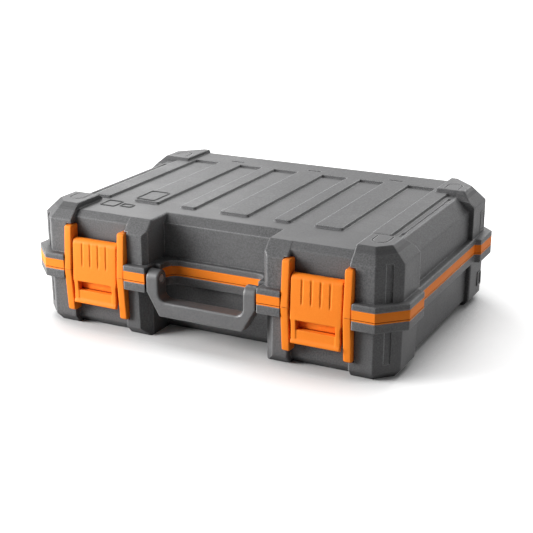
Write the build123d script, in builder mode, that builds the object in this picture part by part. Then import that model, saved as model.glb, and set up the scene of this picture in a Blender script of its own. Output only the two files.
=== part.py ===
"""Hard tool case: a moulded base and a moulded lid hinged along the back, two snap latches on the
front, a swinging carrying handle in a front recess, and coloured trim round both rims.

Millimetres. X runs along the front, Y from front to back, Z up. The origin is on the ground under
the middle of the whole case. Lengths called near and far run back from the front of the rim, and
lengths called low and high run up from the parting line between base and lid.
"""

import math
import os

from build123d import *

# Overall size
rim_width = 422.0
rim_depth = 312.0
base_height = 64.0
lid_height = 60.0
wall = 3.5
parting_gap = 0.6

# Rim
rim_corner = 25.0
rim_side_step = 6.6
rim_step_start = 64.0
rim_step_run = 3.0
lid_trim_height = 9.0
lid_rim_height = 6.0
base_trim_height = 1.4
base_rim_height = 9.4
rim_edge_radius = 1.2

# Walls
edge_radius = 2.0
rim_overhang = 8.0
side_step = 6.0
wall_corner = 21.0
lid_side_cut = 14.0
lid_back_cut = 4.0
recess_cut = 8.5
wall_draft = 1.0
foot_height = 8.0
foot_draft = 42.0

# Corner bumpers
bumper_inner = 157.0
bumper_length = 63.0
bumper_rise = 6.0
bumper_cut = 15.0
bumper_end_cut = 9.0
bumper_back_cut = 3.0
groove_width = 7.0
groove_depth = 1.5
base_groove_length = 47.0

# Handle recess
recess_half = 66.0
recess_depth = 44.0
recess_rim_depth = 38.5
recess_rim_half = 56.0
recess_rim_radius = 12.0
tower_gap_half = 63.5
tower_gap_depth = 19.0
lid_tower_corner = 5.0
base_tower_corner = 11.0
tower_cut = 14.0

# Latches
latch_centre = 125.55
latch_half = 26.95
latch_gap = 1.1
rail_width = 8.6
rail_rise = 46.6
rail_drop = 46.5
rail_lean = 3.6
rail_round = 3.0
rail_edge = 0.9
rail_fit = 0.4
rail_gap = 0.3
bay_depth = 16.0
bay_ledge = 4.5
bay_cut = 6.5
bay_roof_gap = 0.8
latch_pivot_near = 9.0
latch_pivot_high = 28.0
latch_barrel = 6.0
latch_drop = 35.5
latch_lip = 12.0
latch_lip_proud = 3.0
latch_back = 8.0
latch_lip_back = 3.0
bridge_drop = 9.0
latch_edge = 0.8
latch_pin_radius = 1.75
web_near = 10.2
keeper_near = 9.2
keeper_low = -20.5
keeper_high = -12.0
hook_gap = 0.8
hook_reach = 6.0
hook_height = 5.0
window_half = 20.0
window_height = 9.7
latch_waist_low = -27.0
flute_width = 1.7
flute_depth = 0.8
flute_pitch = 9.4
flute_low = 8.5
flute_high = 29.0
flute_count = 4

# Handle
handle_half = 62.0
arm_width = 13.5
boss_radius = 8.8
handle_pivot_near = 9.0
handle_depth = 16.5
grip_low = -34.0
grip_height = 16.0
handle_corner = 14.5
handle_corner_rise = 25.0
grip_corner = 9.0
handle_edge = 1.6
handle_pin_radius = 2.5
handle_pin_head = 4.0
handle_head_height = 1.2
handle_seat_radius = 5.6
handle_seat_depth = 0.9
handle_lug_half = 77.0
handle_lug_depth = 17.0

# Lid ribs
rib_rise = 2.5
rib_near = 73.0
rib_far = 262.0
rib_corner = 3.0
rib_draft = 30.0
mark_depth = 0.9
border_slot_near = 271.0
border_slot_run = 3.0
border_slot_centre = 101.0
border_slot_half = 8.0
side_groove_centre = 178.3
side_groove_width = 1.6
side_groove_near = 75.0
side_groove_far = 232.0
side_slot_width = 3.6
side_slot_run = 17.0
pad_centre = 172.0
pad_half = 8.5
pad_near = 36.0
pad_far = 58.0
pad_groove_width = 1.3
back_border_near = 259.0
back_border_half = 176.0
middle_rib_half = 17.0
inner_rib = (45.0, 64.0)
outer_rib = (90.0, 121.5)
edge_rib = (150.5, 172.0)

# Back hinges
hinge_centre = 110.0
hinge_stand_off = 3.0
knuckle_radius = 5.0
knuckle_relief = 0.6
lid_knuckle = 16.0
base_knuckle = 12.0
knuckle_gap = 0.5
lid_knuckle_root = 13.0
base_knuckle_root = 10.5
knuckle_bite = 2.0
hinge_pin_radius = 1.75
turning_fit = 0.08

# Places worked out from the sizes above
overall_depth = latch_lip_proud + rim_depth + hinge_stand_off + knuckle_radius
front = latch_lip_proud - overall_depth / 2
rim_half = rim_width / 2
wall_half = rim_half - rim_overhang
mid_half = wall_half - side_step
wall_back = rim_depth - rim_overhang
rail_outer = latch_half + latch_gap + rail_width
bay_inner = latch_centre - rail_outer - rail_fit
bay_outer = latch_centre + rail_outer + rail_fit
base_top = -parting_gap
base_trim_low = base_top - base_trim_height
base_rim_low = base_trim_low - base_rim_height
lid_rim_top = lid_trim_height + lid_rim_height
handle_pivot_high = lid_trim_height / 2
hinge_far = rim_depth + hinge_stand_off
hinge_high = -parting_gap / 2
window_low = keeper_low - hook_gap
window_high = window_low + window_height
middle_plane = Plane(origin=(0, front + rim_depth / 2, 0), z_dir=(0, 1, 0))


def level(height):
    """Height above the ground of a height given from the parting line."""
    return base_height + height


def slab(x0, x1, near, far, low, high, mode=Mode.ADD):
    """A plain box between two distances along X, two back from the rim and two from the parting."""
    with Locations((x0, front + near, level(low))):
        Box(x1 - x0, far - near, high - low, align=(Align.MIN, Align.MIN, Align.MIN), mode=mode)


def block(corners, start, way, stages, soft=True):
    """A prism over plan corners, rising (way 1) or hanging (way -1), drafted stage by stage."""
    plane = Plane(origin=(0, 0, level(start)), x_dir=(1, 0, 0), z_dir=(0, 0, way))
    with BuildPart() as piece:
        with BuildSketch(plane):
            Polygon(*[(x, way * (front + y)) for x, y in corners], align=None)
        extrude(amount=stages[0][0], taper=stages[0][1])
        for rise, draft in stages[1:]:
            end = piece.faces().sort_by(Axis.Z, reverse=way < 0)[-1]
            extrude(end, amount=rise, taper=draft)
        free = [e for e in piece.edges() if abs(e.center().Z - level(start)) > 0.01]
        if soft:
            fillet(free, edge_radius)
    return piece.part


def body_plan(half, near, far, corner):
    """Plan corners of a body part: square in front, with cut corners at the back."""
    right = [(half, near), (half, far - corner), (half - corner, far)]
    return right + [(-x, y) for x, y in reversed(right)]


def side_profile(corners, x0, x1, mode=Mode.ADD):
    """A shape drawn in side view and drawn out along X from x0 to x1."""
    with BuildSketch(Plane.YZ.offset(x0)) as section:
        Polygon(*[(front + y, level(z)) for y, z in corners], align=None)
    extrude(section.sketch, amount=x1 - x0, mode=mode)


def tower(front_line, back_line, x0, x1):
    """A tower in front of the body, its free edges rounded."""
    with BuildPart() as piece:
        side_profile(front_line + back_line, x0, x1)
        start = front_line[0][1]
        free = [e for e in piece.edges() if e.center().Y < front + tower_back - 1]
        free = [e for e in free if abs(e.center().Z - level(start)) > 0.01]
        fillet(free, edge_radius)
    return piece.part


def side_disc(near, high, radius, x0, x1, mode=Mode.ADD):
    """A round bar or bore along X."""
    with BuildSketch(Plane.YZ.offset(x0)) as disc:
        with Locations((front + near, level(high))):
            Circle(radius)
    extrude(disc.sketch, amount=x1 - x0, mode=mode)


def rim_outline(low):
    """Outline of both rims: cut corners, stepped sides, open latch bays and the handle recess."""
    notch = bay_depth + 2 * wall
    step_end = rim_step_start + rim_step_run
    right = [
        (0, recess_rim_depth),
        (recess_rim_half, recess_rim_depth),
        (recess_rim_half, tower_gap_depth),
        (tower_gap_half, tower_gap_depth),
        (tower_gap_half, 0),
        (bay_inner, 0),
        (bay_inner, notch),
        (bay_outer, notch),
        (bay_outer, 0),
        (rim_half - rim_corner, 0),
        (rim_half, rim_corner),
        (rim_half, rim_step_start),
        (rim_half - rim_side_step, step_end),
        (rim_half - rim_side_step, rim_depth - step_end),
        (rim_half, rim_depth - rim_step_start),
        (rim_half, rim_depth - rim_corner),
        (rim_half - rim_corner, rim_depth),
        (0, rim_depth),
    ]
    with BuildSketch(Plane.XY.offset(level(low))) as outline:
        with BuildLine():
            Polyline(*[(x, front + y) for x, y in right], close=True)
        make_face()
        mirror(about=Plane.YZ)
        inner = [v for v in outline.vertices() if abs(abs(v.X) - recess_rim_half) < 0.01]
        deep = [v for v in inner if v.Y > front + tower_gap_depth + 1]
        fillet(deep, recess_rim_radius)
    return outline.sketch


def rim_plate(low, high, upper_edge, lower_edge):
    """One flat layer of the rim, with its outer edges rounded at the top or the bottom."""
    with BuildPart() as plate:
        add(rim_outline(low))
        extrude(amount=high - low)
        if upper_edge:
            fillet(plate.faces().sort_by(Axis.Z)[-1].edges(), rim_edge_radius)
        if lower_edge:
            fillet(plate.faces().sort_by(Axis.Z)[0].edges(), rim_edge_radius)
    return plate.part


def corner_bumper(start, way, stages, inner, end, overrun=0):
    """The thickened corner of a shell in front on the right, which may start ahead of the wall."""
    near = rim_overhang - overrun
    far = rim_overhang + end
    corners = [
        (inner, near),
        (wall_half - wall_corner - overrun, near),
        (wall_half, rim_overhang + wall_corner),
        (wall_half, far),
        (inner, far),
    ]
    return block(corners, start, way, stages)


def corner_pair(piece, low, high, groove_low):
    """A corner piece grooved, trimmed to the wall and to its inner sides, and its mirror image."""
    middle = wall_corner / 2
    place = (wall_half - middle, front + rim_overhang + middle, level((groove_low + high) / 2))
    with BuildPart() as corners:
        add(piece)
        with Locations(Location(place, (0, 0, 45))):
            Box(groove_width, 2 * groove_depth, high - groove_low, mode=Mode.SUBTRACT)
        slab(bumper_inner, rim_half, rim_overhang, bumper_far, low, high, mode=Mode.INTERSECT)
        mirror(about=Plane.YZ)
    return corners.part


def at_back(pair):
    """A pair of front corners turned to stand at the back of the case."""
    with BuildPart() as turned:
        mirror(pair, about=middle_plane)
    return turned.part


def both_sides(x0, x1):
    """The same span along X on the right and on the left of the case."""
    return ((x0, x1), (-x1, -x0))


def base_front(near, draft, floor):
    """Front line of a base wall in side view, from the parting down to a floor height."""
    ankle = base_height - foot_height
    drop = ankle - parting_gap
    ankle_near = near + drop * tan_of(draft)
    foot_near = ankle_near + (floor - ankle) * tan_of(foot_draft)
    return [(near, base_top), (ankle_near, -ankle), (foot_near, -floor)]


def tan_of(degrees_angle):
    """Tangent of an angle in degrees."""
    return math.tan(math.radians(degrees_angle))


def clip_corner(low, high, corner):
    """Cuts the upright corner of each tower where it turns into the handle recess."""
    reach = recess_half + rim_overhang + corner
    for side in (-1, 1):
        with BuildSketch(Plane.XY.offset(level(low))) as wedge:
            triangle = [(side * (reach - y), front + y) for y in (0, rim_overhang + 2 * corner)]
            Polygon(*triangle, (side * (reach - rim_overhang - 2 * corner), front), align=None)
        extrude(wedge.sketch, amount=high - low, mode=Mode.SUBTRACT)


def knuckles(way, root_height, spans):
    """Hinge barrels with their roots on the rim; way 1 grows up, way -1 grows down."""
    root = way * root_height
    shoulder = way * knuckle_radius * 0.7
    edge = way * parting_gap / 2
    points = [
        (rim_depth - knuckle_bite, edge),
        (hinge_far, edge),
        (hinge_far + knuckle_radius * 0.7, shoulder),
        (rim_depth, root),
        (rim_depth - knuckle_bite, root),
    ]
    for x0, x1 in spans:
        side_profile([(y, hinge_high + z) for y, z in points], x0, x1)
        side_disc(hinge_far, hinge_high, knuckle_radius, x0, x1)


def knuckle_bores(spans, radius):
    """Bores through hinge barrels."""
    for x0, x1 in spans:
        side_disc(hinge_far, hinge_high, radius, x0, x1, Mode.SUBTRACT)


def knuckle_reliefs(spans):
    """Round hollows in a rim that clear the other shell's hinge barrels."""
    for x0, x1 in spans:
        reach = knuckle_radius + knuckle_relief
        side_disc(hinge_far, hinge_high, reach, x0 - knuckle_gap, x1 + knuckle_gap, Mode.SUBTRACT)


lid_spans = []
base_spans = []
for hinge_x in (-hinge_centre, hinge_centre):
    half = lid_knuckle / 2
    outer = half + knuckle_gap + base_knuckle
    lid_spans.append((hinge_x - half, hinge_x + half))
    base_spans.append((hinge_x - outer, hinge_x - half - knuckle_gap))
    base_spans.append((hinge_x + half + knuckle_gap, hinge_x + outer))

tower_back = recess_depth + bumper_cut
tower_outer = wall_half - 2 * wall_corner
tower_rib_outer = bay_inner + bay_ledge
cavity_outer = bumper_inner + wall_corner
bumper_far = rim_overhang + bumper_length
skin = wall * (2 - math.sqrt(2))


# Base shell: the lower moulding, a tub with thick corners, a front rim and the lower hinge barrels
base_straight = base_height - foot_height - parting_gap
base_stages = [(base_straight, wall_draft), (foot_height, foot_draft)]
back_corner = wall_corner - side_step
base_plan = body_plan(mid_half, recess_depth, wall_back, back_corner)
base_body = block(base_plan, base_top, -1, base_stages)
base_corner = corner_bumper(base_top, -1, base_stages, bumper_inner - wall_corner, bumper_length)
base_corners = corner_pair(base_corner, -base_height, base_top, -base_groove_length)
base_back = [(tower_back, -base_height), (tower_back, base_top)]
with BuildPart() as base_form:
    add(base_body)
    add(base_corners)
    add(at_back(base_corners))
    for left, right in both_sides(recess_half, tower_outer):
        add(tower(base_front(bay_depth, 0, base_height), base_back, left, right))
    for left, right in both_sides(recess_half, tower_rib_outer):
        add(tower(base_front(rim_overhang, wall_draft, base_height), base_back, left, right))
    clip_corner(-base_height, base_top, base_tower_corner)
    for left, right in both_sides(bay_inner, bay_outer):
        slab(left, right, 0, bay_depth, -rail_drop - bay_roof_gap, base_top, Mode.SUBTRACT)
    knuckles(-1, base_knuckle_root, base_spans)
    knuckle_reliefs(lid_spans)

cavity_floor = base_height - wall
hollow_stages = [(base_height - foot_height, wall_draft), (foot_height - wall, foot_draft)]
hollow_half = mid_half - wall
hollow_corner = back_corner - skin
hollow_plan = body_plan(hollow_half, recess_depth + wall, wall_back - wall, hollow_corner)
base_hollow = block(hollow_plan, 0, -1, hollow_stages, False)
tower_hollow_back = [(tower_back, -cavity_floor), (tower_back, base_top)]
base_rim = rim_plate(base_rim_low, base_trim_low, False, True)
with BuildPart() as base_shell:
    add(base_form.part)
    add(base_rim)
    knuckle_reliefs(lid_spans)
    add(base_hollow, mode=Mode.SUBTRACT)
    for left, right in both_sides(recess_half + wall, cavity_outer):
        front_line = base_front(bay_depth + wall, wall_draft, cavity_floor)
        side_profile(front_line + tower_hollow_back, left, right, Mode.SUBTRACT)
    knuckle_bores(base_spans, hinge_pin_radius)

# Base trim: a thin coloured strip on top of the base rim, in two lengths between the latch bays
with BuildPart() as base_strip:
    add(rim_outline(base_trim_low))
    extrude(amount=base_trim_height)
    add(base_form.part, mode=Mode.SUBTRACT)
    knuckle_reliefs(lid_spans)
base_strips = base_strip.solids().sort_by(Axis.Y)
with BuildPart() as base_trim_front:
    add(base_strips[0])
with BuildPart() as base_trim_rim:
    add(base_strips[-1])


# Lid shell: the upper moulding, with raised corners, ribs on top and the middle hinge barrels
lid_straight = lid_height - lid_side_cut
lid_near = recess_depth - lid_side_cut + recess_cut
lid_far = wall_back + lid_side_cut - lid_back_cut
lid_overrun = lid_far - wall_back
lid_plan = body_plan(mid_half, lid_near, lid_far, back_corner + lid_overrun)
with BuildPart() as lid_body:
    add(block(lid_plan, 0, 1, [(lid_straight, 0), (lid_side_cut, 45)]))
    slab(-mid_half, mid_half, recess_depth, wall_back, 0, lid_height, Mode.INTERSECT)
bumper_top = lid_height + bumper_rise
lid_corner_stages = [(bumper_top - bumper_cut, 0), (bumper_cut, 45)]
lid_corner_end = bumper_length + bumper_cut - bumper_end_cut
lid_corner_inner = bumper_inner - bumper_cut
lid_corner_form = (0, 1, lid_corner_stages, lid_corner_inner, lid_corner_end)
lid_front_corner = corner_bumper(*lid_corner_form)
lid_back_corner = corner_bumper(*lid_corner_form, bumper_cut - bumper_back_cut)
bay_line = [(bay_depth, 0), (bay_depth, lid_height - bay_cut), (bay_depth + bay_cut, lid_height)]
tower_slope = lid_height - tower_cut
tower_line = [(rim_overhang, 0), (rim_overhang, tower_slope)]
tower_line.append((rim_overhang + tower_cut, lid_height))
lid_back = [(tower_back, lid_height), (tower_back, 0)]
with BuildPart() as lid_form:
    add(lid_body.part)
    add(corner_pair(lid_front_corner, 0, bumper_top, 0))
    add(at_back(corner_pair(lid_back_corner, 0, bumper_top, 0)))
    for left, right in both_sides(recess_half, tower_outer):
        add(tower(bay_line, lid_back, left, right))
    for left, right in both_sides(recess_half, tower_rib_outer):
        add(tower(tower_line, lid_back, left, right))
    clip_corner(0, lid_height, lid_tower_corner)
    for left, right in both_sides(bay_inner, bay_outer):
        slab(left, right, 0, bay_depth, 0, rail_rise + bay_roof_gap, Mode.SUBTRACT)
    for left, right in both_sides(recess_half, handle_lug_half):
        slab(left, right, 0, handle_lug_depth, 0, lid_trim_height, Mode.SUBTRACT)
    knuckles(1, lid_knuckle_root, lid_spans)
    knuckle_reliefs(base_spans)

lid_inner_cut = lid_side_cut - skin
lid_hollow_stages = [(lid_height - wall - lid_inner_cut + parting_gap, 0), (lid_inner_cut, 45)]
lid_hollow_corner = hollow_corner + lid_overrun
lid_hollow_plan = body_plan(hollow_half, lid_near + wall, lid_far - wall, lid_hollow_corner)
roof = lid_height - wall
with BuildPart() as lid_hollow:
    add(block(lid_hollow_plan, -parting_gap, 1, lid_hollow_stages, False))
    near = recess_depth + wall
    slab(-mid_half, mid_half, near, wall_back - wall, -parting_gap, roof, Mode.INTERSECT)
lid_tower_hollow = [
    (bay_depth + wall, -parting_gap),
    (bay_depth + wall, roof - bay_cut + skin),
    (bay_depth + wall + bay_cut - skin, roof),
    (tower_back, roof),
    (tower_back, -parting_gap),
]
lid_rim = rim_plate(lid_trim_height, lid_rim_top, True, False)
rib_spans = [(-middle_rib_half, middle_rib_half)]
for rib in (inner_rib, outer_rib, edge_rib):
    rib_spans.extend(both_sides(*rib))
with BuildPart() as lid_ribs:
    with BuildSketch(Plane.XY.offset(level(lid_height))) as rib_plan:
        for left, right in rib_spans:
            with Locations(((left + right) / 2, front + (rib_near + rib_far) / 2)):
                Rectangle(right - left, rib_far - rib_near)
        fillet(rib_plan.vertices().group_by(Axis.Y)[0], rib_corner)
        border_far = wall_back - lid_back_cut
        with Locations((0, front + (back_border_near + border_far) / 2)):
            Rectangle(2 * back_border_half, border_far - back_border_near)
    extrude(amount=rib_rise, taper=rib_draft)


def mark(x0, x1, near, far, top):
    """A shallow slot moulded into an upper face of the lid."""
    slab(x0, x1, near, far, top - mark_depth, top, Mode.SUBTRACT)


def pad_outline():
    """A round-ended groove outlining a pad on top of a front bumper, open towards the back."""
    rise = level(bumper_top - mark_depth)
    with BuildPart() as outline:
        with BuildSketch(Plane.XY.offset(rise)) as shape:
            for half, mode in ((pad_half, Mode.ADD), (pad_half - pad_groove_width, Mode.SUBTRACT)):
                with Locations((pad_centre, front + pad_near + pad_half)):
                    Circle(half, mode=mode)
                length = pad_far - pad_near - pad_half
                with Locations((pad_centre, front + pad_near + pad_half + length / 2)):
                    Rectangle(2 * half, length, mode=mode)
        extrude(shape.sketch, amount=2 * mark_depth)
        mirror(about=Plane.YZ)
    return outline.part


with BuildPart() as lid_shell:
    add(lid_form.part)
    add(lid_rim)
    add(lid_ribs.part)
    for centre in (-border_slot_centre, 0, border_slot_centre):
        ends = (centre - border_slot_half, centre + border_slot_half)
        border_slot_far = border_slot_near + border_slot_run
        mark(*ends, border_slot_near, border_slot_far, lid_height + rib_rise)
    for side in (-side_groove_centre, side_groove_centre):
        reach = side_groove_width / 2
        mark(side - reach, side + reach, side_groove_near, side_groove_far, lid_height)
        for near in (side_groove_near, side_groove_far - side_slot_run):
            reach = side_slot_width / 2
            mark(side - reach, side + reach, near, near + side_slot_run, lid_height)
    front_pads = pad_outline()
    add(front_pads, mode=Mode.SUBTRACT)
    add(at_back(front_pads), mode=Mode.SUBTRACT)
    add(lid_hollow.part, mode=Mode.SUBTRACT)
    for left, right in both_sides(recess_half + wall, cavity_outer):
        side_profile(lid_tower_hollow, left, right, Mode.SUBTRACT)
    knuckle_bores(lid_spans, hinge_pin_radius + turning_fit)

# Lid trim: the broad coloured band under the lid rim, in two lengths between the latch bays
with BuildPart() as lid_band:
    add(rim_outline(0))
    extrude(amount=lid_trim_height)
    add(lid_form.part, mode=Mode.SUBTRACT)
    knuckle_reliefs(base_spans)
lid_bands = lid_band.solids().sort_by(Axis.Y)
pin_reach = handle_lug_half - wall
with BuildPart() as lid_trim_front:
    add(lid_bands[0])
    for left, right in both_sides(handle_half, pin_reach):
        pivot = (handle_pivot_near, handle_pivot_high)
        side_disc(*pivot, handle_pin_radius, left, right, Mode.SUBTRACT)
with BuildPart() as lid_trim_rim:
    add(lid_bands[-1])


# Latch frames: a pair of coloured rails beside each latch, joined by a bridge behind it
def rail(x0, start, end):
    """One rail from the parting to its rounded end, leaning back from the parting."""
    points = [(0, start), (rail_lean, end), (bay_depth, end), (bay_depth, start)]
    with BuildPart() as piece:
        with BuildSketch(Plane.YZ.offset(x0)) as outline:
            Polygon(*[(front + y, level(z)) for y, z in points], align=None)
            tip = [v for v in outline.vertices() if abs(v.X - front - rail_lean) < 0.01]
            fillet(tip, rail_round)
        extrude(amount=rail_width)
        free = [e for e in piece.edges() if e.center().Y < front + bay_depth - 0.1]
        free = [e for e in free if abs(e.center().Z - level(start)) > 0.01]
        fillet(free, rail_edge)
    return piece.part


def rail_pair(centre, start, end):
    """The two rails beside one latch."""
    near_edge = latch_half + latch_gap
    return rail(centre - rail_outer, start, end) + rail(centre + near_edge, start, end)


def lid_frame(centre):
    """Upper rails with the bridge between them and the blind bores for the latch pin."""
    inner = latch_half + latch_gap
    reach = inner + rail_width / 2
    with BuildPart() as frame:
        add(rail_pair(centre, 0, rail_rise))
        slab(centre - inner, centre + inner, web_near, bay_depth, 0, lid_trim_height)
        pivot = (latch_pivot_near, latch_pivot_high, latch_pin_radius)
        side_disc(*pivot, centre - reach, centre + reach, Mode.SUBTRACT)
    return frame.part


def base_frame(centre):
    """Lower rails with the bridge and the keeper bar that the latch hooks under."""
    inner = latch_half + latch_gap
    with BuildPart() as frame:
        add(rail_pair(centre, -rail_gap, -rail_drop))
        slab(centre - inner, centre + inner, web_near, bay_depth, -bridge_drop, base_top)
        slab(centre - inner, centre + inner, keeper_near, bay_depth, keeper_low, keeper_high)
    return frame.part


with BuildPart() as lid_latch_frame_left:
    add(lid_frame(-latch_centre))
with BuildPart() as lid_latch_frame_right:
    add(lid_frame(latch_centre))
with BuildPart() as base_latch_frame_left:
    add(base_frame(-latch_centre))
with BuildPart() as base_latch_frame_right:
    add(base_frame(latch_centre))


# Latches: a thick plate turning on a pin between the upper rails, with a hook under a window
latch_top_near = latch_pivot_near - latch_barrel
latch_slope = latch_top_near / (latch_pivot_high - latch_waist_low)


def latch_face(high):
    """How far back the leaning front face of a latch stands at a height."""
    return latch_top_near - latch_slope * (latch_pivot_high - high)


with BuildPart() as flute:
    profile = [
        (-latch_lip_proud, flute_low),
        (latch_face(flute_low), flute_low),
        (latch_face(flute_low) + flute_depth, flute_low + 2 * flute_depth),
        (latch_face(flute_high) + flute_depth, flute_high - flute_depth),
        (latch_face(flute_high), flute_high),
        (-latch_lip_proud, flute_high),
    ]
    side_profile(profile, -flute_width / 2, flute_width / 2)


def latch(centre):
    """One latch plate standing closed, about its own centre along X."""
    x0 = centre - latch_half
    x1 = centre + latch_half
    outline = [
        (latch_top_near, latch_pivot_high),
        (latch_face(latch_waist_low), latch_waist_low),
        (-latch_lip_proud, -latch_drop + 2),
        (-latch_lip_proud, -latch_drop),
        (latch_lip_back, -latch_drop),
        (latch_back, -latch_drop + latch_lip),
        (latch_back, latch_pivot_high - latch_barrel),
        (latch_pivot_near, latch_pivot_high - latch_barrel),
        (latch_pivot_near, latch_pivot_high),
    ]
    hook_half = window_half - 1
    hook_top = window_low
    with BuildPart() as plate:
        side_profile(outline, x0, x1)
        pivot = (latch_pivot_near, latch_pivot_high)
        side_disc(*pivot, latch_barrel, x0, x1)
        rounded = [e for e in plate.edges() if e.center().Y < front + latch_back - 0.1]
        fillet(rounded, latch_edge)
        hook = (latch_back - 1, latch_back + hook_reach, hook_top - hook_height, hook_top)
        slab(centre - hook_half, centre + hook_half, *hook)
        window = (-latch_lip_proud, latch_back, window_low, window_high)
        slab(centre - window_half, centre + window_half, *window, Mode.SUBTRACT)
        for i in range(flute_count):
            shift = (i - (flute_count - 1) / 2) * flute_pitch
            add(flute.part.moved(Location((centre + shift, 0, 0))), mode=Mode.SUBTRACT)
        side_disc(*pivot, latch_pin_radius + turning_fit, x0, x1, Mode.SUBTRACT)
    return plate.part


with BuildPart() as latch_left:
    add(latch(-latch_centre))
with BuildPart() as latch_right:
    add(latch(latch_centre))

# Latch pins: plain steel rods, pressed into the upper rails
latch_pin_half = latch_half + latch_gap + rail_width / 2
pin_line = (latch_pivot_near, latch_pivot_high, latch_pin_radius)
with BuildPart() as latch_pin_left:
    side_disc(*pin_line, -latch_centre - latch_pin_half, -latch_centre + latch_pin_half)
with BuildPart() as latch_pin_right:
    side_disc(*pin_line, latch_centre - latch_pin_half, latch_centre + latch_pin_half)

# Handle: a one-piece moulded grip with two arms, turning on pins in the lid trim
arm_inner = handle_half - arm_width
handle_top = handle_pivot_high + boss_radius
boss_far = handle_pivot_near + boss_radius
with BuildPart() as handle_side:
    grip_foot = [(0, grip_low), (handle_depth, grip_low)]
    arm_head = [(boss_far, handle_pivot_high), (handle_pivot_near - boss_radius, handle_pivot_high)]
    side_profile(grip_foot + arm_head, -handle_half, handle_half)
    side_disc(handle_pivot_near, handle_pivot_high, boss_radius, -handle_half, handle_half)
with BuildPart() as handle:
    outer_right = [
        (handle_half, handle_top),
        (handle_half, grip_low + handle_corner_rise),
        (handle_half - handle_corner, grip_low),
    ]
    outer_left = [(-x, z) for x, z in reversed(outer_right)]
    with BuildSketch(Plane.XZ.offset(-front)) as handle_front:
        Polygon(*[(x, level(z)) for x, z in outer_right + outer_left], align=None)
        opening = handle_top - grip_low - grip_height
        with Locations((0, level(grip_low + grip_height))):
            Rectangle(2 * arm_inner, opening, align=(Align.CENTER, Align.MIN), mode=Mode.SUBTRACT)
        inner = [v for v in handle_front.vertices() if abs(v.X) < arm_inner + 1]
        low_inner = [v for v in inner if v.Y < level(grip_low + grip_height + 1)]
        low_inner = [v for v in low_inner if v.Y > level(grip_low + 1)]
        fillet(low_inner, grip_corner)
    extrude(amount=-boss_far)
    add(handle_side.part, mode=Mode.INTERSECT)
    fillet(handle.edges(), handle_edge)
    seat = arm_inner + handle_seat_depth
    pivot = (handle_pivot_near, handle_pivot_high)
    for left, right in both_sides(arm_inner, seat):
        side_disc(*pivot, handle_seat_radius, left, right, Mode.SUBTRACT)
    for left, right in both_sides(arm_inner, handle_half):
        side_disc(*pivot, handle_pin_radius + turning_fit, left, right, Mode.SUBTRACT)


# Handle pins: headed pins entered from the middle of the recess, pressed into the lid trim
def handle_pin(side):
    """One headed pin on the right (side 1) or the left (side -1)."""
    head_far = seat - 3 * turning_fit
    spans = {
        handle_pin_head: (head_far - handle_head_height, head_far),
        handle_pin_radius: (head_far, pin_reach),
    }
    with BuildPart() as pin:
        for radius, (x0, x1) in spans.items():
            start = min(side * x0, side * x1)
            side_disc(handle_pivot_near, handle_pivot_high, radius, start, start + x1 - x0)
    return pin.part


with BuildPart() as handle_pin_left:
    add(handle_pin(-1))
with BuildPart() as handle_pin_right:
    add(handle_pin(1))

# Hinge pins: plain steel rods through the three barrels of each back hinge
hinge_pin_half = lid_knuckle / 2 + knuckle_gap + base_knuckle
hinge_line = (hinge_far, hinge_high, hinge_pin_radius)
with BuildPart() as hinge_pin_left:
    side_disc(*hinge_line, -hinge_centre - hinge_pin_half, -hinge_centre + hinge_pin_half)
with BuildPart() as hinge_pin_right:
    side_disc(*hinge_line, hinge_centre - hinge_pin_half, hinge_centre + hinge_pin_half)

os.makedirs("parts", exist_ok=True)
base_shell.part.label = "base_shell"
base_trim_front.part.label = "base_trim_front"
base_trim_rim.part.label = "base_trim_rim"
base_latch_frame_left.part.label = "base_latch_frame_left"
base_latch_frame_right.part.label = "base_latch_frame_right"
lid_shell.part.label = "lid_shell"
lid_trim_front.part.label = "lid_trim_front"
lid_trim_rim.part.label = "lid_trim_rim"
lid_latch_frame_left.part.label = "lid_latch_frame_left"
lid_latch_frame_right.part.label = "lid_latch_frame_right"
latch_left.part.label = "latch_left"
latch_right.part.label = "latch_right"
latch_pin_left.part.label = "latch_pin_left"
latch_pin_right.part.label = "latch_pin_right"
handle.part.label = "handle"
handle_pin_left.part.label = "handle_pin_left"
handle_pin_right.part.label = "handle_pin_right"
hinge_pin_left.part.label = "hinge_pin_left"
hinge_pin_right.part.label = "hinge_pin_right"

export_step(base_shell.part, "parts/base_shell.step")
export_step(base_trim_front.part, "parts/base_trim_front.step")
export_step(base_trim_rim.part, "parts/base_trim_rim.step")
export_step(base_latch_frame_left.part, "parts/base_latch_frame_left.step")
export_step(base_latch_frame_right.part, "parts/base_latch_frame_right.step")
export_step(lid_shell.part, "parts/lid_shell.step")
export_step(lid_trim_front.part, "parts/lid_trim_front.step")
export_step(lid_trim_rim.part, "parts/lid_trim_rim.step")
export_step(lid_latch_frame_left.part, "parts/lid_latch_frame_left.step")
export_step(lid_latch_frame_right.part, "parts/lid_latch_frame_right.step")
export_step(latch_left.part, "parts/latch_left.step")
export_step(latch_right.part, "parts/latch_right.step")
export_step(latch_pin_left.part, "parts/latch_pin_left.step")
export_step(latch_pin_right.part, "parts/latch_pin_right.step")
export_step(handle.part, "parts/handle.step")
export_step(handle_pin_left.part, "parts/handle_pin_left.step")
export_step(handle_pin_right.part, "parts/handle_pin_right.step")
export_step(hinge_pin_left.part, "parts/hinge_pin_left.step")
export_step(hinge_pin_right.part, "parts/hinge_pin_right.step")
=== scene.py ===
import math

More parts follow.
